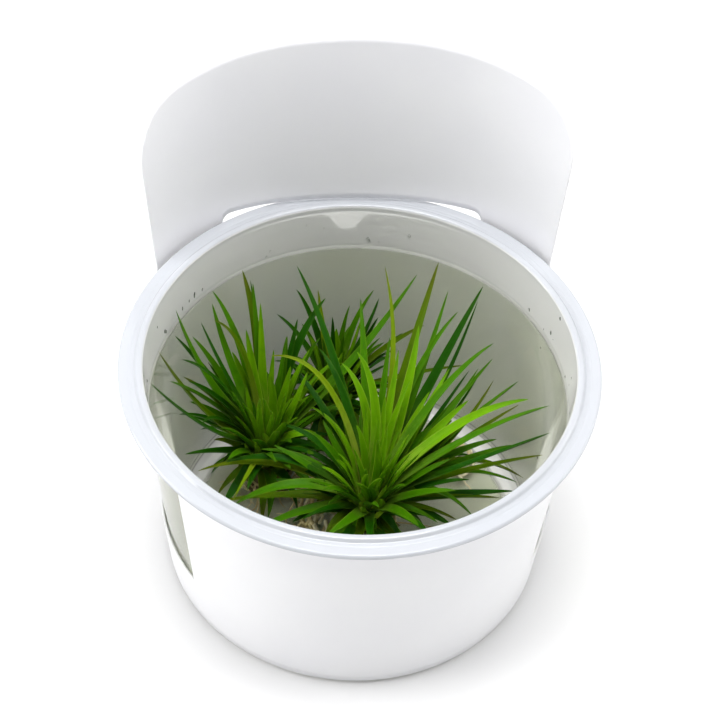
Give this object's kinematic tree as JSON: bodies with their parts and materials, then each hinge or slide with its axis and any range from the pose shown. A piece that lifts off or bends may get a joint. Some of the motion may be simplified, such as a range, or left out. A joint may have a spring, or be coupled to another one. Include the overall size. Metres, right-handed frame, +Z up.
{
  "type": "aquarium plants in a clear tub with a card sleeve",
  "caption": "Small grass-like aquarium plants with roots in a clear round tub with a wide flat rim, wrapped in a white card sleeve whose back panel stands up above the rim.",
  "frame": {"origin": "centre of the tub's flat underside, on the surface it stands on", "axes": "+Z up; the front label faces -Y and the upright back card stands at +Y; +X is to the right seen from the front"},
  "size_m": [0.095, 0.0968, 0.0956],
  "materials": {
    "clear_tub": "clear moulded plastic, faintly milky, glossy",
    "white_card": "smooth white printed card, satin",
    "leaf_green": "moist thin leaf, soft gloss",
    "leaf_dark": "moist thin leaf, soft gloss",
    "leaf_olive": "moist older leaf, soft gloss",
    "crown_green": "pale leaf bases, soft gloss",
    "roots": "moist fibrous roots, matt"
  },
  "bodies": {
    "root": {"tub": "clear_tub", "label_sleeve": "white_card", "left_roots": "roots", "left_crown": "crown_green", "left_leaf_01": "leaf_dark", "left_leaf_02": "leaf_olive", "left_leaf_03": "leaf_green", "left_leaf_04": "leaf_green", "left_leaf_05": "leaf_dark", "left_leaf_06": "leaf_dark", "left_leaf_07": "leaf_dark", "left_leaf_08": "leaf_dark", "left_leaf_09": "leaf_olive", "left_leaf_10": "leaf_green", "left_leaf_11": "leaf_green", "left_leaf_12": "leaf_olive", "left_leaf_13": "leaf_dark", "left_leaf_14": "leaf_green", "left_leaf_15": "leaf_olive", "right_roots": "roots", "right_crown": "crown_green", "right_leaf_01": "leaf_olive", "right_leaf_02": "leaf_dark", "right_leaf_03": "leaf_olive", "right_leaf_04": "leaf_dark", "right_leaf_05": "leaf_green", "right_leaf_06": "leaf_green", "right_leaf_07": "leaf_olive", "right_leaf_08": "leaf_green", "right_leaf_09": "leaf_green", "right_leaf_10": "leaf_dark", "right_leaf_11": "leaf_olive", "right_leaf_12": "leaf_olive", "right_leaf_13": "leaf_green", "right_leaf_14": "leaf_dark", "right_leaf_15": "leaf_green", "right_leaf_16": "leaf_green", "right_leaf_17": "leaf_green", "right_leaf_18": "leaf_olive", "right_leaf_19": "leaf_olive", "right_leaf_20": "leaf_dark", "right_leaf_21": "leaf_olive", "right_leaf_22": "leaf_dark", "right_leaf_23": "leaf_dark", "back_roots": "roots", "back_crown": "crown_green", "back_leaf_01": "leaf_dark", "back_leaf_02": "leaf_olive", "back_leaf_03": "leaf_green", "back_leaf_04": "leaf_dark", "back_leaf_05": "leaf_dark", "back_leaf_06": "leaf_olive", "back_leaf_07": "leaf_dark", "back_leaf_08": "leaf_olive", "back_leaf_09": "leaf_dark"}
  },
  "joints": []
}
